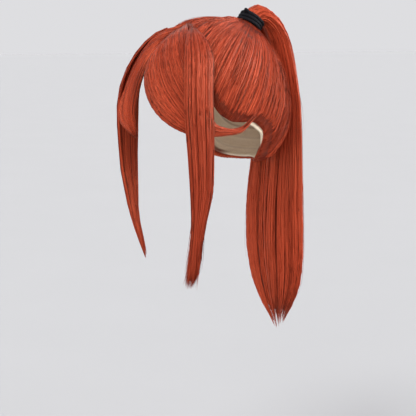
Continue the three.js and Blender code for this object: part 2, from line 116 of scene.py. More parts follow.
def smooth(value, low, high):
    """A share that eases from 0 to 1 as the value goes from low to high."""
    t = np.clip((value - low) / (high - low), 0, 1)
    return t * t * (3 - 2 * t)


def grid_faces(rows, columns, closed=False, start=0, flip=False, spot=(0, 0, 1, 1)):
    """Quads of a grid of points, and where each of their corners lies in a box of the map."""
    spans = columns if closed else columns - 1
    i, j = (n.ravel() for n in np.meshgrid(np.arange(rows - 1), np.arange(spans), indexing="ij"))
    a, b = start + i * columns + j, start + i * columns + (j + 1) % columns
    faces = np.stack([a, b, b + columns, a + columns], 1)
    u = spot[0] + (spot[2] - spot[0]) * np.stack([j, j + 1, j + 1, j], 1) / spans
    v = spot[1] + (spot[3] - spot[1]) * np.stack([i, i, i + 1, i + 1], 1) / (rows - 1)
    uv = np.stack([u, v], -1)
    return (faces[:, ::-1], uv[:, ::-1]) if flip else (faces, uv)


def strip_faces(first, second, flip=False, spot=(0, 0, 1, 1)):
    """Quads between two rows of point numbers."""
    quads, uv = grid_faces(2, len(first), False, 0, flip, spot)
    return np.concatenate([first, second])[quads], uv


def fan_faces(tip, ring, low, high, flip=False):
    """Triangles from one point number to a ring of them, in a strip of the map."""
    count = len(ring) - 1
    faces = np.stack([np.full(count, tip), ring[:-1], ring[1:]], 1)
    u = (np.arange(count)[:, None] + [0.5, 0, 1]) / count
    uv = np.stack([u, np.tile([high, low, low], (count, 1))], -1)
    return (faces[:, ::-1], uv[:, ::-1]) if flip else (faces, uv)


def piece_from(name, node, material, parts):
    """One mesh that stands for a node. A part is its share of the map, points, faces and values."""
    band_margin, map_margin = 0.005, 0.002
    shares, clouds, face_sets, value_sets = zip(*parts)
    mesh = bpy.data.meshes.new(name)
    points = np.concatenate(clouds)
    starts = np.cumsum([0] + [len(cloud) for cloud in clouds])
    bands = np.cumsum([0, *shares]) / sum(shares)
    corners, sizes, spots = [], [], []
    for start, low, high, face_set in zip(starts, bands, bands[1:], face_sets):
        for faces, uv in face_set:
            corners.append((faces + start).ravel())
            sizes.append(np.full(len(faces), faces.shape[1]))
            placed = np.array(uv, dtype=float).reshape(-1, 2)
            placed[:, 1] = low + (high - low) * (band_margin + (1 - 2 * band_margin) * placed[:, 1])
            spots.append(map_margin + (1 - 2 * map_margin) * placed)
    corners, sizes, spots = np.concatenate(corners), np.concatenate(sizes), np.concatenate(spots)
    mesh.vertices.add(len(points))
    mesh.vertices.foreach_set("co", points.astype(np.float32).ravel())
    mesh.loops.add(len(corners))
    mesh.loops.foreach_set("vertex_index", corners.astype(np.int32))
    mesh.polygons.add(len(sizes))
    mesh.polygons.foreach_set("loop_start", (np.cumsum(sizes) - sizes).astype(np.int32))
    mesh.polygons.foreach_set("loop_total", sizes.astype(np.int32))
    mesh.update()
    mesh.uv_layers.new(name="OFBake").data.foreach_set("uv", spots.astype(np.float32).ravel())
    for key in value_sets[0]:
        values = np.concatenate([np.asarray(each[key], dtype=np.float32) for each in value_sets])
        kind = "FLOAT" if values.ndim == 1 else "FLOAT_VECTOR"
        layer = mesh.attributes.new(key, kind, "POINT")
        layer.data.foreach_set("value" if values.ndim == 1 else "vector", values.ravel())
    mesh.shade_smooth()
    mesh.materials.append(material)
    made = bpy.data.objects.new(name, mesh)
    bpy.context.collection.objects.link(made)
    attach(made, "root")
    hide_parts(node)


class Wire:
    """A socket in a material. Arithmetic on it adds Math nodes; add() adds any other node."""

    def __init__(self, tree, socket=None):
        self.tree, self.socket = tree, socket

    def add(self, kind, settings, inputs, output=0):
        node = self.tree.nodes.new(kind)
        for key, value in settings.items():
            setattr(node, key, value)
        for key, value in inputs.items():
            if isinstance(value, Wire):
                self.tree.links.new(value.socket, node.inputs[key])
            else:
                node.inputs[key].default_value = value
        return Wire(self.tree, node.outputs[output])

    def maths(self, operation, *values):
        return self.add("ShaderNodeMath", {"operation": operation}, dict(enumerate(values)))

    def __add__(self, other):
        return self.maths("ADD", self, other)

    def __sub__(self, other):
        return self.maths("SUBTRACT", self, other)

    def __rsub__(self, other):
        return self.maths("SUBTRACT", other, self)

    def __mul__(self, other):
        return self.maths("MULTIPLY", self, other)

    __radd__, __rmul__ = __add__, __mul__

    def value(self, name):
        return self.add("ShaderNodeAttribute", {"attribute_name": name}, {}, "Fac")

    def vector(self, name):
        return self.add("ShaderNodeAttribute", {"attribute_name": name}, {}, "Vector")

    def noise(self, place, scale, detail=2.0):
        inputs = {"Vector": place, "Scale": scale, "Detail": detail}
        return self.add("ShaderNodeTexNoise", {}, inputs, "Fac")

    def scaled(self, place, by):
        return self.add("ShaderNodeVectorMath", {"operation": "MULTIPLY"}, {0: place, 1: by})

    def blend(self, share, low, high):
        settings = {"data_type": "RGBA", "clamp_factor": True}
        return self.add("ShaderNodeMix", settings, {0: share, 6: low, 7: high}, 2)

    def bump(self, height, strength, distance):
        inputs = {"Strength": strength, "Distance": distance, "Height": height}
        return self.add("ShaderNodeBump", {}, inputs)


def new_finish(name, **fixed):
    """A material, its shader node and a Wire from which its pattern is drawn."""
    material = bpy.data.materials.new(name)
    material.use_nodes = True
    shader = material.node_tree.nodes["Principled BSDF"]
    for key, value in fixed.items():
        shader.inputs[key.replace("_", " ")].default_value = value
    return material, shader, Wire(material.node_tree)


def wear(shader, key, wire):
    """Feeds a pattern to one of the shader's sockets."""
    wire.tree.links.new(wire.socket, shader.inputs[key])


# Fine cream mesh, plain and solid on the tapes and the binding, and red where hair is sewn.
net, net_shader, ink = new_finish("cream net", Specular_IOR_Level=0.25)
spot = ink.vector("cloth")
mesh_lines = ink.add(
    "ShaderNodeTexVoronoi",
    {"feature": "DISTANCE_TO_EDGE"},
    {"Vector": spot, "Scale": 620.0, "Randomness": 0.25},
)
thread = 1 - ink.maths("MINIMUM", mesh_lines * 5.5, 1.0)
solid = ink.maths("MAXIMUM", thread, ink.value("tape"))
cloth_tone = ink.noise(spot, 90.0, 4.0)
between = ink.blend(cloth_tone, (0.58, 0.44, 0.3, 1), (0.7, 0.55, 0.4, 1))
cream = ink.blend(cloth_tone, (0.72, 0.59, 0.42, 1), (0.88, 0.76, 0.58, 1))
sewn = ink.blend(ink.value("stitch"), ink.blend(solid, between, cream), (0.16, 0.02, 0.01, 1))
wear(net_shader, "Base Color", sewn)
wear(net_shader, "Roughness", solid * 0.15 + 0.7)
weave = ink.noise(ink.scaled(spot, (1.0, 3.0, 1.0)), 900.0)
wear(net_shader, "Normal", ink.bump(thread * 0.6 + weave * 0.4, 0.6, 0.0004))

cap_rows, cap_columns, weft_rows, row_crowding = 66, 120, 11, 0.9
bare_crown, bare_edge, tape_thick, tape_half, stitch_half = 0.12, 0.96, 0.0004, 0.16, 0.06
binding_from, binding_width, binding_in, binding_out = 0.972, 0.03, 0.0007, 0.0005
cloth_round, cloth_down = 0.09, 0.1
share = np.linspace(0, 1, cap_rows + 1)[1:, None] ** row_crowding
bearing = np.linspace(0, 360, cap_columns, endpoint=False)[None, :]
reach = share * at_bearing(bearing, cap_edge)
way = combed_way(bearing + 0 * reach, reach)
off_row = (share * (weft_rows + 0.5)) % 1 - 0.5
tape_here = np.exp(-((off_row / tape_half) ** 4)) * (share > bare_crown)
stitch_here = 0.7 * np.exp(-((off_row / stitch_half) ** 2)) * (share > bare_crown) * (share < bare_edge)
binding = np.sin(np.pi * np.clip((share - binding_from) / binding_width, 0, 1)) ** 0.5
inside = head_radius(way) - tape_thick * tape_here - binding_in * binding
outside = head_radius(way) + cap_wall + binding_out * binding
round_cap = np.radians(bearing) * cloth_round * np.sin(np.radians(reach))
cloth = np.stack([round_cap, np.radians(reach) * cloth_down, 0 * reach], -1)
top = [pole * (head_radius(pole) + cap_wall) + centre, pole * head_radius(pole) + centre]
cap_points = [(way * radius[..., None] + centre).reshape(-1, 3) for radius in (outside, inside)]

# Sewn roots turn the outside red, all but the binding from each ear back. At the corners of
# the nape the hair is hemmed over the binding, which is red there too.
binding_bared, hem_starts, hem_ends = (60, 75), (124, 132), (146, 160)
edge = smooth(share, 0.965, 0.975) + 0 * reach
turned = np.abs((bearing + 180) % 360 - 180)
hemmed = edge * smooth(turned, *hem_starts) * (1 - smooth(turned, *hem_ends))
rooted = np.maximum(1 - edge * smooth(turned, *binding_bared), hemmed)
stitch_here = np.maximum(stitch_here, 0.9 * hemmed)
layer, around = cap_rows * cap_columns, np.append(np.arange(cap_columns), 0)
rim = layer - cap_columns + around
cap_part = (
    1,
    np.concatenate(cap_points + [np.array(top)]),
    [
        grid_faces(cap_rows, cap_columns, True, 0, True, (0, 0, 1, 0.46)),
        grid_faces(cap_rows, cap_columns, True, layer, False, (0, 0.48, 1, 0.94)),
        strip_faces(rim, layer + rim, True, (0, 0.945, 1, 0.965)),
        fan_faces(2 * layer, around, 0.97, 0.98),
        fan_faces(2 * layer + 1, layer + around, 0.985, 0.995, True),
    ],
    {
        "cloth": np.concatenate([cloth.reshape(-1, 3), cloth.reshape(-1, 3), np.zeros((2, 3))]),
        "tape": np.concatenate([edge.ravel(), np.maximum(tape_here, edge).ravel(), [0, 0]]),
        "stitch": np.concatenate([rooted.ravel(), stitch_here.ravel(), [1, 0]]),
    },
)
piece_from("net_cap", "cap", net, [cap_part])

# The combed hair is smooth synthetic fibre, sewn on round the edge of the cap and combed up
# over it from every side into the tie. Its edge rolls out of the seam, thickest at the nape.
hair_depth, hair_lump = 0.0093, 0.0011
tie_lean = math.radians(36)
tail_neck, tie_gap, cord_size, cord_turns = 0.0126, 0.0006, 0.0045, 3
tie_axis = np.array([0, math.sin(tie_lean), math.cos(tie_lean)])
tie_inner = tail_neck + tie_gap
tie_width = cord_turns * cord_size
tie_slant = tie_lean - tie_tilt
pole_radius = float(head_radius(pole)) + cap_wall + seat_gap
tie_height = (
    pole_radius
    + hair_depth
    + hair_lump
    + layer_gap
    + tie_width / 2 * math.cos(tie_slant)
    + (tie_inner + cord_size) * math.sin(abs(tie_slant))
)
tie_centre = pole * tie_height + centre
tie_foot = tie_centre - tie_axis * (tie_width / 2 + layer_gap)
neck_reach = math.degrees(math.asin((tie_inner + layer_gap) / pole_radius))
mound_reach = 3 * neck_reach
roll_from, roll_in = 0.84, 0.85


def polar_of(way):
    """Degrees round the tie and away from it, for a way from the centre."""
    reach = np.degrees(np.arccos(np.clip(way @ pole, -1, 1)))
    return np.degrees(np.arctan2(way[..., 0], way @ ahead_of_pole)), reach


def combed_radius(way, lump):
    """How far the outside of the combed hair lies from the centre. It rises to meet the tie."""
    bearing, reach = polar_of(way)
    share = np.clip((reach - neck_reach) / (at_bearing(bearing, hair_edge) - neck_reach), 0, 1)
    roll = np.sqrt(1 - roll_in * smooth(share, roll_from, 1) ** 2)
    hair = head_radius(way) + cap_wall + seat_gap + hair_depth * at_bearing(bearing, hair_bulk) * roll
    ring = ((tie_foot - centre) @ tie_axis) / (way @ tie_axis)
    mound = 1 - smooth(reach, neck_reach, mound_reach)
    return (hair + hair_lump * lump * (1 - mound)) * (1 - mound) + ring * mound


class Mat:
    """Hair between an under and an upper grid of points; down runs from its roots to its tips."""

    def __init__(self, under, upper, closed=False):
        self.under, self.upper, self.closed = under, upper, closed

    def at(self, across, down, height):
        """Places in the mat, the way out of it and its thickness there. Tips may run past its end."""
        rows, columns = self.under.shape[:2]
        i = np.maximum(down, 0) * (rows - 1)
        if self.closed:
            j = (across % 1) * columns
        else:
            j = np.clip(across, 0, 1) * (columns - 1)
        i0 = np.clip(i.astype(int), 0, rows - 2)
        j0 = np.clip(j.astype(int), 0, columns - (1 if self.closed else 2))
        j1 = (j0 + 1) % columns
        fi, fj = (i - i0)[..., None], (j - j0)[..., None]

        def sample(grid):
            near = grid[i0, j0] * (1 - fj) + grid[i0, j1] * fj
            return near * (1 - fi) + (grid[i0 + 1, j0] * (1 - fj) + grid[i0 + 1, j1] * fj) * fi

        low, outward = sample(self.under), sample(self.upper - self.under)
        thick = np.maximum(np.linalg.norm(outward, axis=-1, keepdims=True), 1e-6)
        return low + outward * height[..., None], outward / thick, thick[..., 0]


def body_of(mat, columns, rows, seed, fill, upto=1.0, groove=0.0003, root=0.03):
    """The closed mass of hair below the top fibres, grooved along them, with painted shade on it that is
    lighter at the roots.
    """
    rng = np.random.default_rng(seed)
    map_share, least_fill, root_fill, root_shade = 0.35, 0.02, 0.3, 0.08
    end_rounding, side_rounding, full_groove = 0.06, 6, 0.003
    across = np.linspace(0, 1, columns, endpoint=not mat.closed)
    across, down = np.meshgrid(across, np.linspace(0, upto, rows))
    ridge = rng.uniform(-1, 1, columns)[None, :] * groove
    ending = np.clip((1.001 - down / upto) / end_rounding, 0, 1) ** 0.5
    side = np.clip((1.001 - np.abs(2 * across - 1)) * columns / side_rounding, 0, 1) ** 0.5
    if mat.closed:
        side = 1
    rooting = root_fill + (1 - root_fill) * np.clip(down / root, 0, 1) ** 0.5
    place, outward, thick = mat.at(across, down, fill * rooting * ending * side + least_fill)
    upper = place + outward * (ridge * np.clip(thick / full_groove, 0, 1))[..., None]
    count = rows * columns
    middle = upper[:, columns // 2]
    run = np.cumsum(np.linalg.norm(np.diff(middle, axis=0, prepend=middle[:1]), axis=-1))
    width = np.linalg.norm(np.diff(upper[rows // 3], axis=0), axis=-1).sum()
    fibre = np.stack([across * width, run[:, None] + 0 * across, 0 * across], -1).reshape(-1, 3)
    tone = (rng.uniform(0.1, 0.7, columns)[None, :] + 0 * down).ravel()
    points, last, end = [upper.reshape(-1, 3)], np.arange(columns), count - columns
    if mat.closed:
        faces = [grid_faces(rows, columns, True, 0, True, (0, 0, 1, 0.9))]
        turn = np.linspace(0, 2 * np.pi, columns, endpoint=False)
        disc = np.stack([np.cos(turn), np.sin(turn)], -1) * 0.04
        faces.append((last[None, :], disc[None] + [0.1, 0.95]))
        faces.append((end + last[None, ::-1], disc[None, ::-1] + [0.3, 0.95]))
    else:
        place, outward, thick = mat.at(across, down, np.zeros_like(down))
        lower = place + outward * (np.abs(ridge) * 0.5 * np.clip(thick / full_groove, 0, 1))[..., None]
        points.append(lower.reshape(-1, 3))
        left, right = np.arange(rows) * columns, np.arange(rows) * columns + columns - 1
        faces = [
            grid_faces(rows, columns, False, 0, True, (0, 0, 1, 0.46)),
            grid_faces(rows, columns, False, count, False, (0, 0.48, 1, 0.94)),
            strip_faces(left, count + left, True, (0, 0.95, 0.24, 0.96)),
            strip_faces(right, count + right, False, (0.25, 0.95, 0.49, 0.96)),
            strip_faces(last, count + last, False, (0.5, 0.95, 0.74, 0.96)),
            strip_faces(end + last, count + end + last, True, (0.75, 0.95, 0.99, 0.96)),
        ]
    fold = len(points)
    # Painted shade: the body is marked deep, less so at its roots, and its underside half as much.
    deep = np.clip(down / root_shade, 0.3, 1).ravel()
    deep = np.concatenate([deep, 0.5 * deep][:fold])
    values = {"tone": np.tile(tone, fold), "deep": deep, "fibre": np.tile(fibre, (fold, 1))}
    return map_share, np.concatenate(points), faces, values


def strands(
    mat,
    count,
    steps,
    seed,
    width,
    clumps,
    ends,
    starts=(0.0, 0.02),
    level=0.85,
    forks=0,
    fork=0.0,
    dome=0.0008,
    stray=0.05,
    splay=0.0,
    within=(0.0, 1.0),
    dark=0.0,
    slim=0.0,
):
    """Tapered fibres bunched into clumps.

    starts and ends give where their roots and tips may lie down the mat, within the part of its
    width that they take, and level how high they lie in it. dome rounds each clump. forks is the
    number of points that the tips gather to, by the share fork. splay spreads the tips, and stray
    is the share of fibres that stand off. dark adds painted shade to them and darkens their tone,
    or paints them lighter when below 0, and slim thins them down the mat.
    """
    rng = np.random.default_rng(seed)
    gather, clump_lift, sunk, full_lift, loose_lift = 0.5, 0.0006, 0.0006, 0.004, 0.001
    t = np.linspace(0, 1, steps)[None, :]
    across = rng.uniform(*within, count)[:, None]
    middles = (np.arange(clumps) + rng.uniform(0, 1, clumps)) / clumps
    away = across - middles[None]
    if mat.closed:
        away = (away + 0.5) % 1 - 0.5
    nearest = np.abs(away).argmin(1)
    off = np.take_along_axis(away, nearest[:, None], 1)
    edge = np.clip(np.abs(off) * clumps * 2.0, 0, 1)
    lobes = (np.arange(max(forks, 1)) + rng.uniform(0.2, 0.8, max(forks, 1))) / max(forks, 1)
    lobe = np.abs(across - lobes[None]).argmin(1)
    begin = starts[0] + (starts[1] - starts[0]) * rng.uniform(0, 1, (count, 1)) ** 2
    reach = rng.uniform(0, 1, (count, 1)) ** 0.8 * rng.uniform(0.55, 1, len(lobes))[lobe][:, None]
    finish = ends[0] + (ends[1] - ends[0]) * (reach if forks else rng.uniform(0, 1, (count, 1)))
    down = begin + (finish - begin) * t
    bunched = np.sin(np.pi * np.clip(0.12 + down * 0.8, 0, 1)) ** 0.7
    pull = gather * bunched * rng.uniform(0.4, 1.3, (count, 1))
    sway = rng.uniform(0, 2 * np.pi, (2, clumps))[:, nearest, None]
    wander = 0.35 * np.sin(down * 4 + sway[0]) + 0.2 * np.sin(down * 9 + sway[1])
    phase = rng.uniform(0, 2 * np.pi, (2, count, 1))
    wave = 0.45 * np.sin(down * 5 + phase[0]) + 0.12 * np.sin(down * 14 + phase[1])
    place = across - off * pull + (wander + wave) / clumps * min(1.0, within[1] - within[0] + 0.2)
    if forks:
        place = place + (lobes[lobe][:, None] - place) * fork * smooth(down, 0.84, 1.02)
    stack = rng.uniform(0, 1, (count, 1))
    emerge = np.clip((down - begin) / 0.03, 0, 1) ** 0.5
    spine, outward, thick = mat.at(place, down, level * (0.5 + 0.5 * emerge) * (1 - 0.2 * stack**2))
    uneven = clump_lift * rng.uniform(-1, 1, clumps)[nearest][:, None]
    lift = dome * (0.4 - edge**2) + uneven - sunk * stack**2
    lift = lift * np.clip(thick / full_lift, 0.3, 1)
    loose = (rng.uniform(0, 1, (count, 1)) < stray) * rng.uniform(0.4, 1.6, (count, 1)) * loose_lift
    spine = spine + outward * (lift + loose * np.sin(np.pi * t))[..., None]
    along = np.gradient(spine, axis=1)
    along /= np.maximum(np.linalg.norm(along, axis=-1, keepdims=True), 1e-9)
    aside = np.cross(along, outward)
    aside /= np.maximum(np.linalg.norm(aside, axis=-1, keepdims=True), 1e-9)
    if splay:
        spread = splay * rng.normal(0, 1, (count, 1)) * smooth(t, 0.7, 1.0) ** 2
        spine = spine + aside * spread[..., None]
    tip = np.clip((1 - t) / 0.2, 0.04, 1) ** 0.8
    foot = 0.35 + 0.65 * np.clip(t / 0.04, 0, 1)
    size = width * rng.uniform(0.55, 1.3, (count, 1)) * (tip * foot * (1 - slim * down))
    own_tone = rng.uniform(0, 1, count)
    clump_tone = rng.uniform(0, 1, clumps)[nearest]
    # dark lowers the tone as painted shade, or raises it as painted light when below 0.
    tone = np.clip(0.6 * own_tone + 0.4 * clump_tone - 0.5 * dark, 0, 1.3)
    # Painted shade: fibres lying deep in the mat, those at the edges of their clump and one in about six
    # are marked darker, less so near their tips.
    shaded = rng.uniform(0.4, 1.1, clumps)[nearest][:, None]
    painted_shade_lines = 0.6 * (rng.uniform(0, 1, (count, 1)) < 0.18)
    paler = 1 - 0.6 * smooth(down, 0.8, 1)
    deep = np.clip(0.35 * stack**2 + shaded * edge**5 + painted_shade_lines + dark, 0, 1) * paler
    return tubes(spine, along, aside, size, tone, deep, rng)


def tubes(spine, along, aside, size, tone, deep, rng):
    """Closed three-sided fibres along their spines, with one cell of the map for each."""
    sides, cell_slimness, side_shift = 3, 6, 0.0009
    count, steps = spine.shape[:2]
    up = np.cross(aside, along)
    turn = 2 * np.pi * (np.arange(sides) + 0.25) / sides
    rings = spine[:, :, None] + size[:, :, None, None] * (
        aside[:, :, None] * np.cos(turn)[:, None] + up[:, :, None] * np.sin(turn)[:, None]
    )
    quads, uv = grid_faces(steps, sides, True, 0, True, (0.08, 0.05, 0.92, 0.95))
    ends = np.arange(sides)
    caps = np.stack([ends, (steps - 1) * sides + ends[::-1]])
    tri = np.array([[0.1, 0.0], [0.5, 0.035], [0.9, 0.0]])
    cap_uv = np.stack([tri + [0, 0.005], tri[::-1] * [1, -1] + [0, 0.995]])
    cells = math.ceil(math.sqrt(count * cell_slimness))
    tall = math.ceil(count / cells)
    corner = np.stack([np.arange(count) % cells, np.arange(count) // cells], -1)[:, None, None]
    base = (np.arange(count) * steps * sides)[:, None, None]
    faces = []
    for shape, spots in ((quads, uv), (caps, cap_uv)):
        face_corners = shape.shape[1]
        placed = (corner + spots[None]) / [cells, tall]
        numbered = (base + shape[None]).reshape(-1, face_corners)
        faces.append((numbered, placed.reshape(-1, face_corners, 2)))
    run = np.cumsum(np.linalg.norm(np.diff(spine, axis=1, prepend=spine[:, :1]), axis=-1), 1)
    shift = rng.uniform(0, 3, (count, 1, 1)) + np.arange(sides)[None, None] * side_shift
    fibre = np.stack(np.broadcast_arrays(shift, run[:, :, None], 0.0), -1)
    spread = (count, steps, sides)
    # deep carries each fibre's painted shade to every corner of it.
    values = {
        "tone": np.broadcast_to(tone[:, None, None], spread).ravel(),
        "deep": np.broadcast_to(deep[:, :, None], spread).ravel(),
        "fibre": np.broadcast_to(fibre, spread + (3,)).reshape(-1, 3),
    }
    return 1.0, rings.reshape(-1, 3), faces, values


# Glossy red fibre, streaked along its length, with painted shade between the clumps and on the fibres
# that lie deep.
hair, hair_shader, dye_and_shade = new_finish(
    "red fibre", Metallic=0.2, Specular_IOR_Level=0.38, Specular_Tint=(1.0, 0.64, 0.36, 1)
)
fibre_at = dye_and_shade.vector("fibre")
painted_shade = dye_and_shade.value("deep")
streak = dye_and_shade.noise(dye_and_shade.scaled(fibre_at, (2400.0, 16.0, 1.0)), 1.0, 2.0)
patch = dye_and_shade.noise(dye_and_shade.scaled(fibre_at, (40.0, 9.0, 1.0)), 1.0, 1.0)
lightness = dye_and_shade.value("tone") * 0.85 + streak * 0.55 + patch * 0.35 - 0.37
warm = dye_and_shade.blend(lightness, (0.21, 0.016, 0.007, 1), (0.62, 0.088, 0.036, 1))
# Painted shade: where a fibre is marked deep its colour is blended towards near black.
wear(hair_shader, "Base Color", dye_and_shade.blend(painted_shade * 0.9, warm, (0.07, 0.005, 0.003, 1)))
wear(hair_shader, "Roughness", streak * 0.2 + 0.27)
wear(hair_shader, "Normal", dye_and_shade.bump(streak, 0.4, 0.0003))

panel_rows, columns_per_lock, panel_overlap, lock_swell = 60, 12, 0.4, 0.4
combed_panels = [  # name, from, to, locks in it, fibres, clumps
    ("crown_hair", -40, 40, 5, 760, 36),
    ("side_hair_left", 40, 100, 5, 1150, 52),
    ("nape_hair", 100, 260, 11, 2300, 104),
    ("side_hair_right", 260, 320, 5, 1150, 52),
]
for seed, (node, first, final, locks, fibres, clumps) in enumerate(combed_panels):
    columns = locks * columns_per_lock + 1
    across = np.linspace(0, 1, columns)[None, :]
    down = np.linspace(0, 1, panel_rows)[:, None]
    bearing = first - panel_overlap + (final - first + 2 * panel_overlap) * across + 0 * down
    reach = neck_reach + (at_bearing(bearing, hair_edge) - neck_reach) * (1 - down) ** row_crowding
    way = combed_way(bearing, reach)
    lump = -lock_swell * np.cos(2 * np.pi * locks * across) + 0 * down
    under = way * (head_radius(way) + cap_wall + seat_gap * 0.8)[..., None] + centre
    upper = way * combed_radius(way, lump)[..., None] + centre
    mat = Mat(under, upper)
    combed = {"width": 0.00045, "clumps": clumps, "ends": (0.97, 1.0), "level": 0.9, "slim": 0.35}
    flyaway = {"width": 0.00022, "clumps": 9, "ends": (0.4, 1.0), "starts": (0, 0.5), "level": 1.0}
    parts = [
        body_of(mat, columns=columns * 2, rows=16, seed=70 + seed, fill=0.81),
        strands(mat, count=fibres, steps=9, seed=seed, **combed),
        strands(mat, count=fibres // 12, steps=8, seed=10 + seed, stray=1, slim=0.3, **flyaway),
    ]
    piece_from(node + "_fibres", node, hair, parts)

# The fringe is two thin sheets of fibre, sewn in along a parting at the front. The left half
# sweeps round the side to a thin wisp that is laid over the combed hair. The right half hangs
# forward as a curtain, whose tip curls in.
sheet_rows, fringe_columns, fringe_depth, sheet_lump = 90, 41, 0.0042, 0.0007
climb_from, climb_to, laid_edge = -7, -1, 0.25
sweep_turn = math.radians(34)
left_fringe_rows = np.array(
    [  # front: out, ahead, drop; back: out, ahead, drop; thick, fall, swept
        [0.0, 0.84, 0.27, 0.0, 0.37, 0.0, 0.7, 0, 0],
        [0.03, 1.01, 0.5, 0.34, 0.53, 0.07, 0.9, 0, 0],
        [0.18, 1.1, 0.71, 0.62, 0.68, 0.27, 1, 0, 0],
        [0.44, 1.14, 0.91, 0.87, 0.71, 0.55, 1, 0, 0],
        [0.7, 1.09, 1.08, 1.04, 0.62, 0.79, 1, 0, 0],
        [0.9, 0.945, 1.2, 1.11, 0.59, 1.0, 1, 0, 0],
        [1.0, 0.76, 1.25, 1.13, 0.55, 1.11, 1, 0, 0],
        [1.08, 0.52, 1.275, 1.14, 0.44, 1.17, 0.95, 0, 0],
        [1.13, 0.25, 1.25, 1.14, 0.23, 1.2, 0.8, 0, 0],
        [1.14, 0.07, 1.2, 1.14, 0.08, 1.15, 0.65, 0, 0],
        [1.15, -0.1, 1.03, 1.15, -0.08, 1.01, 0.4, 0, 0],
    ]
)
right_fringe_rows = np.array(
    [  # the same columns: this half hangs further forward and curls in at its tip
        [0.0, 0.84, 0.27, 0.0, 0.37, 0.0, 0.7, 0, 0],
        [0.04, 0.94, 0.43, 0.4, 0.5, 0.06, 0.9, 0, 0],
        [0.06, 1.0, 0.57, 0.67, 0.64, 0.27, 1, 0, 0],
        [0.08, 1.045, 0.71, 0.93, 0.67, 0.53, 1, 0, 0],
        [0.12, 1.065, 0.85, 1.01, 0.77, 0.76, 1, 0, 0],
        [0.17, 1.075, 0.99, 0.94, 0.95, 0.95, 1, 0, 0],
        [0.21, 1.065, 1.12, 0.74, 1.06, 1.12, 0.95, 0, 0],
        [0.235, 1.035, 1.24, 0.49, 1.06, 1.26, 0.75, 0, 0],
        [0.27, 1.0, 1.34, 0.3, 1.01, 1.35, 0.4, 0, 0],
    ]
)


def row_at(rows, share):
    """A row of a table at any share of the way down it, on smooth curves through the rows."""
    place = np.clip(share, 0, 1) * (len(rows) - 1)
    k = min(int(place), len(rows) - 2)
    s = place - k
    above, here, below, last = rows[max(k - 1, 0)], rows[k], rows[k + 1], rows[min(k + 2, len(rows) - 1)]
    leaving, arriving = (below - above) / 2, (last - here) / 2
    fade, rise = 2 * s**3 - 3 * s**2 + 1, 3 * s**2 - 2 * s**3
    return fade * here + (s**3 - 2 * s**2 + s) * leaving + rise * below + (s**3 - s**2) * arriving


def lift_over(tree, point):
    """The point moved out until the sheet under it is a layer's gap away."""
    probe, afar = 0.004, 0.4
    hub = Vector((0, 0, min(point[2], centre[2])))
    away = Vector(point) - hub
    clear = away.length
    for along, up in ((0, 0), (1, 0), (-1, 0), (0, 1), (0, -1)):
        level = Vector((-away.y, away.x, 0)).normalized() * along * probe
        aim = (away + level + Vector((0, 0, up * probe))).normalized()
        hit = tree.ray_cast(hub + aim * afar, -aim)
        if hit[0] is not None and hit[3] < afar:
            clear = max(clear, afar - hit[3] + layer_gap)
    return np.array(hub + away.normalized() * clear)


def laid_mat(rows, side, columns, depth, locks, inset, fall=0, swept=0, beneath=None):
    """A sheet of hair between its front and back edges, lifted clear of what lies beneath it."""
    inward = np.array([-math.cos(sweep_turn), math.sin(sweep_turn), 0])
    under, upper = np.empty((sheet_rows, columns, 3)), np.empty((sheet_rows, columns, 3))
    for i in range(sheet_rows):
        row = row_at(rows, i / (sheet_rows - 1))
        thick, fallen, drawn_in = row[6:]
        ends = []
        for out, ahead, drop in (row[:3], row[3:6]):
            low = crown_height * drop + fall * fallen
            end = np.array([head_side * out, -head_front * ahead, -low])
            ends.append(end + inward * swept * drawn_in)
        near, far = (np.linalg.norm(end - [0, 0, min(end[2], centre[2])]) for end in ends)
        for j in range(columns):
            across = j / (columns - 1)
            chord = ends[0] * (1 - across) + ends[1] * across
            hub = np.array([0, 0, min(chord[2], centre[2])])
            away = (chord - hub) / np.linalg.norm(chord - hub)
            base = hub + away * (near * (1 - across) + far * across)
            from_centre = base - centre
            way = from_centre / np.linalg.norm(from_centre)
            bearing, reach = polar_of(way)
            climb = smooth(at_bearing(bearing, hair_edge) - reach, climb_from, climb_to)
            floor = (head_radius(way) + cap_wall) * (1 - climb) + combed_radius(way, 1) * climb
            floor += layer_gap
            if np.linalg.norm(from_centre) < floor:
                base = centre + way * floor
            if beneath is not None:
                base = lift_over(beneath, base)
            base[0] = max(base[0], inset)
            crown = 1 - (1 - laid_edge) * abs(2 * across - 1) ** 3
            lump = (1 - math.cos(2 * math.pi * locks * across)) / 2
            hub = np.array([0, 0, min(base[2], centre[2])])
            outward = (base - hub) / np.linalg.norm(base - hub)
            under[i, j] = base
            upper[i, j] = base + outward * thick * (depth * crown + sheet_lump * (lump - 1))
    for grid in (under, upper):
        grid[..., 0] *= side
    if side < 0:
        under, upper = under[:, ::-1], upper[:, ::-1]
    return Mat(under, upper)


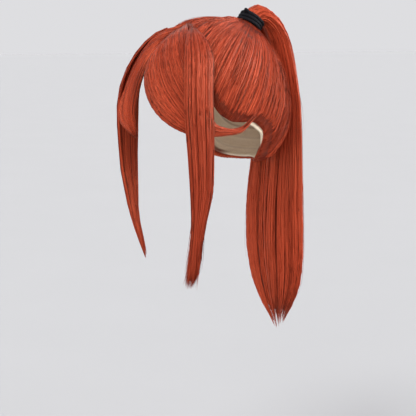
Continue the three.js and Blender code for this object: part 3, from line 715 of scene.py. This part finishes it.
fringe_trees = {}
for side, name, rows in ((1, "left", left_fringe_rows), (-1, "right", right_fringe_rows)):
    mat = laid_mat(rows, side, fringe_columns, fringe_depth, locks=4, inset=0.0003)
    sheet = (mat.upper * np.array([side, 1, 1])).reshape(-1, 3)
    sheet_faces = grid_faces(sheet_rows, fringe_columns)[0]
    fringe_trees[side] = BVHTree.FromPolygons(sheet.tolist(), sheet_faces.tolist())
    front = (0.0, 0.07) if side > 0 else (0.93, 1.0)
    over = {"width": 0.00042, "clumps": 60, "ends": (0.72, 1.0), "starts": (0, 0.03)}
    behind = {"width": 0.0004, "clumps": 30, "ends": (0.8, 1.0), "starts": (0, 0.03)}
    wisps = {"width": 0.00028, "clumps": 9, "ends": (0.45, 0.95), "starts": (0, 0.2)}
    parts = [
        body_of(mat, columns=100, rows=26, seed=80 + side, upto=0.97, fill=0.6, groove=0.00025),
        strands(mat, count=1250, steps=12, seed=20 + side, forks=2, fork=0.5, **over),
        strands(mat, count=270, steps=10, seed=22 + side, level=0.06, dome=0.0, **behind),
        strands(mat, count=70, steps=12, seed=24 + side, splay=0.0022, within=front, **wisps),
    ]
    piece_from("fringe_%s_fibres" % name, "fringe_" + name, hair, parts)

# A long straight lock of the same fibre hangs down each side, sewn in beside the parting over
# the fringe. The left one is cut to a thin frayed end, and the right one narrows to a point that
# sweeps in.
lock_columns, lock_depth, narrows_from = 21, 0.006, 0.7
lock_rows = np.array(
    [  # front: out, ahead, drop; back: out, ahead, drop; thick, fall, swept
        [0.33, 0.5, 0.035, 0.49, 0.46, 0.055, 0.35, 0, 0],
        [0.47, 0.61, 0.131, 0.66, 0.45, 0.131, 0.6, 0, -0.02],
        [0.615, 0.71, 0.239, 0.82, 0.45, 0.239, 0.8, 0, -0.04],
        [0.77, 0.8, 0.414, 0.95, 0.455, 0.414, 0.9, 0, -0.06],
        [0.9, 0.87, 0.647, 1.05, 0.52, 0.647, 1, 0, -0.1],
        [0.985, 0.91, 0.903, 1.12, 0.555, 0.903, 1, 0, -0.1],
        [1.03, 0.91, 0.903, 1.14, 0.555, 0.903, 1, 0.145, -0.08],
        [1.04, 0.88, 0.903, 1.155, 0.565, 0.903, 1, 0.304, -0.08],
        [1.04, 0.855, 0.903, 1.155, 0.575, 0.903, 1, 0.471, -0.05],
        [1.02, 0.83, 0.903, 1.12, 0.62, 0.903, 1, 0.594, 0.03],
        [1.0, 0.82, 0.903, 1.07, 0.665, 0.903, 0.95, 0.71, 0.11],
        [0.98, 0.83, 0.903, 1.03, 0.69, 0.903, 0.85, 0.826, 0.3],
        [0.95, 0.855, 0.903, 1.0, 0.71, 0.903, 0.7, 0.928, 0.53],
        [0.92, 0.875, 0.903, 0.96, 0.755, 0.903, 0.4, 1, 0.68],
    ]
)
lock_sides = [  # side, name, fall, swept, forks, splay, narrowed by, towards column
    (1, "left", 0.218, 0, 5, 0.0022, 0.1, 10),
    (-1, "right", 0.206, 0.0365, 2, 0.0009, 0.7, 14),
]
for side, name, fall, swept, forks, splay, narrow, lean in lock_sides:
    mat = laid_mat(
        lock_rows,
        side,
        lock_columns,
        lock_depth,
        locks=3,
        inset=0.0006,
        fall=fall,
        swept=swept,
        beneath=fringe_trees[side],
    )
    squeeze = narrow * smooth(np.linspace(0, 1, sheet_rows), narrows_from, 1.0)[:, None, None]
    thickness = (mat.upper - mat.under) * (1 - 0.5 * squeeze)
    mat.under += (mat.under[:, lean : lean + 1] - mat.under) * squeeze
    mat.upper = mat.under + thickness
    # The top fibres get a little painted shade, and those beneath are painted lighter: painted light.
    over = {"width": 0.00046, "clumps": 18, "ends": (0.86, 1.06), "starts": (0, 0.08), "dark": 0.1}
    behind = {"width": 0.00044, "clumps": 12, "ends": (0.86, 1.04), "starts": (0, 0.05), "dark": -0.15}
    parts = [
        body_of(mat, columns=50, rows=34, seed=90 + side, upto=0.86, fill=0.66, root=0.12),
        strands(mat, count=640, steps=14, seed=30 + side, splay=splay, forks=forks, fork=0.8, **over),
        strands(mat, count=200, steps=14, seed=40 + side, level=0.08, dome=0, forks=forks, **behind),
    ]
    piece_from("side_lock_%s_fibres" % name, "side_lock_" + name, hair, parts)

# The ponytail is one thick bundle of long straight fibre, held by the tie. It stands up out of
# it, arches back and falls, flat and wide, to a thinned end.
arch_reach, fall_length, tail_side, tail_depth, tail_shift = 0.058, 0.325, 0.063, 0.017, 0.020
arch_rows = [  # behind, above, aside, wide, deep
    [0.14, 0.16, 0, 0.21, 0.7],
    [0.27, 0.15, 0, 0.25, 0.62],
    [0.45, 0.045, 0, 0.31, 0.6],
    [0.62, -0.17, -0.08, 0.38, 0.59],
    [0.76, -0.47, -0.2, 0.45, 0.59],
    [0.87, -0.85, -0.35, 0.51, 0.58],
    [0.98, -1.36, -0.5, 0.57, 0.56],
]
fall_rows = [  # behind, drop, aside, wide, deep
    [1.02, 0.074, -0.65, 0.69, 0.6],
    [1.0, 0.222, -0.85, 0.85, 0.75],
    [0.95, 0.443, -1, 0.985, 0.93],
    [0.94, 0.61, -1, 1.03, 1],
    [0.95, 0.74, -0.93, 1, 0.95],
    [0.97, 0.85, -0.85, 0.84, 0.78],
    [0.98, 0.94, -0.75, 0.52, 0.52],
    [0.99, 1, -0.7, 0.2, 0.28],
]
neck_low = pole * (float(head_radius(pole)) + cap_wall + 2 * seat_gap) + centre
stations = [neck_low, tie_centre - tie_axis * tie_width / 2, tie_centre + tie_axis * tie_width / 2]
widths = [[tail_neck, tail_neck]] * 3
for behind, above, aside, wide, deep in arch_rows:
    stations.append(tie_centre + [tail_shift * aside, arch_reach * behind, arch_reach * above])
    widths.append([tail_side * wide, tail_depth * deep])
arch_end = stations[-1][2]
for behind, drop, aside, wide, deep in fall_rows:
    low = arch_end - fall_length * drop
    stations.append([tail_shift * aside, tie_centre[1] + arch_reach * behind, low])
    widths.append([tail_side * wide, tail_depth * deep])
stations, widths = np.array(stations, dtype=float), np.array(widths)


def path_at(share):
    """A point on a smooth curve through the stations, kept tight where they lie close."""
    ends = [2 * stations[0] - stations[1], *stations, 2 * stations[-1] - stations[-2]]
    place = share * (len(stations) - 1)
    k = min(int(place), len(stations) - 2)
    p0, p1, p2, p3 = (ends[k + n] for n in range(4))
    d0, d1, d2 = (np.linalg.norm(b - a) ** 0.5 for a, b in ((p0, p1), (p1, p2), (p2, p3)))
    t1 = ((p1 - p0) / d0 - (p2 - p0) / (d0 + d1) + (p2 - p1) / d1) * d1
    t2 = ((p2 - p1) / d1 - (p3 - p1) / (d1 + d2) + (p3 - p2) / d2) * d1
    s = place - k
    return p1 + t1 * s + (3 * (p2 - p1) - 2 * t1 - t2) * s**2 + (2 * (p1 - p2) + t1 + t2) * s**3


tail_rows, tail_columns, tail_ribs, rib_depth, core = 110, 72, 9, 0.04, 0.4
nudge = 1e-3
neck_end = 2 / (len(stations) - 1)
ribs_full = 3 * neck_end
first_share = neck_end * 0.55
under, upper = np.empty((tail_rows, tail_columns, 3)), np.empty((tail_rows, tail_columns, 3))
turn = np.linspace(0, 2 * np.pi, tail_columns, endpoint=False)
for i in range(tail_rows):
    share = first_share + (1 - first_share) * i / (tail_rows - 1)
    wide, deep = row_at(widths, share)
    middle = path_at(share)
    beyond = min(share + nudge, 1)
    tangent = path_at(beyond) - path_at(beyond - 2 * nudge)
    tangent /= np.linalg.norm(tangent)
    aside = np.array([1.0, 0, 0]) - tangent * tangent[0]
    aside /= np.linalg.norm(aside)
    behind = np.cross(aside, tangent)
    lumps = 1 + rib_depth * smooth(share, neck_end, ribs_full) * (np.cos(tail_ribs * turn) - 1)
    sideways = aside * (wide * lumps * np.cos(turn))[:, None]
    spoke = sideways + behind * (deep * lumps * np.sin(turn))[:, None]
    under[i], upper[i] = middle + spoke * core, middle + spoke
tail = Mat(under, upper, closed=True)
full = {"width": 0.00058, "clumps": 70, "ends": (0.88, 1.05), "starts": (0, 0.01), "level": 0.95}
flyaway = {"width": 0.0003, "clumps": 12, "ends": (0.6, 1.0), "starts": (0, 0.3), "level": 1.0}
parts = [
    body_of(tail, columns=200, rows=44, seed=95, upto=0.95, fill=0.78, groove=0.0007),
    # Painted light: the tail's top fibres are marked lighter than the rest of the hair.
    strands(tail, count=1700, steps=15, seed=50, forks=18, fork=0.3, dome=0.0014, dark=-0.5, **full),
    strands(tail, count=90, steps=15, seed=51, stray=1, splay=0.003, **flyaway),
]
piece_from("ponytail_fibres", "ponytail", hair, parts)

# The tie is one black elastic with a woven cover, wound three times round the foot of the
# ponytail, with its ends knotted on the front.
elastic, elastic_shader, yarn = new_finish("black elastic", Specular_IOR_Level=0.12)
wound = yarn.vector("wound")
rib = yarn.add(
    "ShaderNodeTexWave",
    {"bands_direction": "DIAGONAL", "wave_profile": "SIN"},
    {"Vector": wound, "Scale": 260.0, "Distortion": 0.6},
    "Fac",
)
fuzz = yarn.noise(wound, 1500.0, 3.0)
worn = yarn.blend(rib * 0.7 + fuzz * 0.3, (0.002, 0.002, 0.003, 1), (0.012, 0.012, 0.016, 1))
wear(elastic_shader, "Base Color", worn)
wear(elastic_shader, "Roughness", fuzz * 0.2 + 0.6)
wear(elastic_shader, "Normal", yarn.bump(rib + fuzz * 0.3, 0.7, 0.0004))


def cord_ring(middle, radius, height, thick, seed, rows=110, columns=14):
    """One turn of the elastic, a little uneven."""
    wobble = 0.0003
    rng = np.random.default_rng(seed)
    phase = rng.uniform(0, 2 * np.pi, 3)
    turn = np.linspace(0, 2 * np.pi, rows, endpoint=False)[:, None]
    girth = np.linspace(0, 2 * np.pi, columns, endpoint=False)[None, :]
    swell = thick * (1 + 0.06 * np.sin(3 * turn + phase[0]))
    lift = height + wobble * np.sin(turn + phase[1]) + 0.4 * wobble * np.sin(3 * turn + phase[2])
    out = radius + swell * np.cos(girth)
    forward = np.cross(tie_axis, [1.0, 0, 0])
    spoke = np.cos(turn)[..., None] * np.array([1.0, 0, 0]) + np.sin(turn)[..., None] * forward
    points = middle + out[..., None] * spoke + (lift + swell * np.sin(girth))[..., None] * tie_axis
    points = np.concatenate([points, points[:1]])
    wound = np.stack([turn * radius + 0 * girth, girth * thick + 0 * turn, 0 * turn * girth], -1)
    wound = np.concatenate([wound, wound[:1] + [2 * np.pi * radius, 0, 0]])
    values = {"wound": wound.reshape(-1, 3)}
    return 1.0, points.reshape(-1, 3), [grid_faces(rows + 1, columns, True)], values


cord, cord_fit = cord_size / 2, 0.98
turns = [
    cord_ring(tie_centre, tie_inner + cord, (k - 1) * cord_size, cord * cord_fit, seed=60 + k)
    for k in range(cord_turns)
]
knot_radius, knot_cord, knot_rise = 0.0019, 0.002, 0.005
knot_way = np.array([0.35, -0.85, 0.4])
knot_way = knot_way - tie_axis * (knot_way @ tie_axis)
knot_out = knot_way / np.linalg.norm(knot_way) * (tie_inner + cord_size)
knot_at = tie_centre + knot_out + tie_axis * knot_rise
turns.append(cord_ring(knot_at, knot_radius, 0, knot_cord, seed=64, rows=24, columns=10))
piece_from("elastic_turns", "hair_tie", elastic, turns)

# The stage is a wide pale floor below the wig, lit softly by a bright sky and by broad lamps
# from the front, the left side and behind. The camera is level with the crown.
floor_half, floor_level = 40.0, -0.62
paper = bpy.data.meshes.new("floor")
floor_corners = [(x * floor_half, y * floor_half, 0) for x, y in ((-1, -1), (1, -1), (1, 1), (-1, 1))]
paper.from_pydata(floor_corners, [], [(0, 1, 2, 3)])
floor = bpy.data.objects.new("floor", paper)
floor.location.z = floor_level
bpy.context.collection.objects.link(floor)
pale, pale_shader, wash = new_finish("pale floor", Specular_IOR_Level=0.1)
faint = wash.noise(wash.add("ShaderNodeTexCoord", {}, {}, "Object"), 3.0)
wear(pale_shader, "Base Color", wash.blend(faint, (0.415, 0.415, 0.418, 1), (0.43, 0.43, 0.433, 1)))
wear(pale_shader, "Roughness", faint * 0.05 + 0.85)
paper.materials.append(pale)
floor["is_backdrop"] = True

world = bpy.data.worlds.new("studio")
world.use_nodes = True
sky = Wire(world.node_tree)
sky_way = sky.add("ShaderNodeTexCoord", {}, {}, "Generated")
upward = sky.add("ShaderNodeSeparateXYZ", {}, {0: sky_way}, "Z")
fade = sky.add("ShaderNodeMapRange", {}, {0: upward, 1: 0.05, 2: 0.6}, 0)
shade = sky.blend(fade, (0.73, 0.73, 0.75, 1), (0.95, 0.95, 0.99, 1))
world.node_tree.links.new(shade.socket, world.node_tree.nodes["Background"].inputs["Color"])
bpy.context.scene.world = world
bpy.context.scene.view_settings.view_transform = "Standard"


def broad_lamp(name, place, power, spread):
    """A far lamp on the side of its place. Its spread in degrees softens the shadows."""
    light = bpy.data.lights.new(name, "SUN")
    light.energy, light.angle = power, math.radians(spread)
    made = bpy.data.objects.new(name, light)
    made.location = place
    made.rotation_euler = (-Vector(place)).to_track_quat("-Z", "Y").to_euler()
    bpy.context.collection.objects.link(made)


broad_lamp("key", (0.5, -1.2, 1.5), 1.2, 20)
broad_lamp("side fill", (0.8, -1.0, 0.35), 1.3, 45)
broad_lamp("back fill", (0.75, 1.15, 0.25), 4.8, 60)

azimuth, camera_distance, camera_height = math.radians(57), 1.6, -0.015
aim_right, aim_height = -0.0038, -0.234
right = Vector((math.cos(azimuth), math.sin(azimuth), 0))
toward = Vector((math.sin(azimuth), -math.cos(azimuth), 0))
camera = bpy.data.cameras.new("camera")
camera.lens, camera.sensor_width = 108, 36
eye = bpy.data.objects.new("camera", camera)
eye.location = toward * camera_distance + Vector((0, 0, camera_height))
target = right * aim_right + Vector((0, 0, aim_height))
eye.rotation_euler = (target - eye.location).to_track_quat("-Z", "Y").to_euler()
bpy.context.collection.objects.link(eye)
bpy.context.scene.camera = eye

low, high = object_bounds()
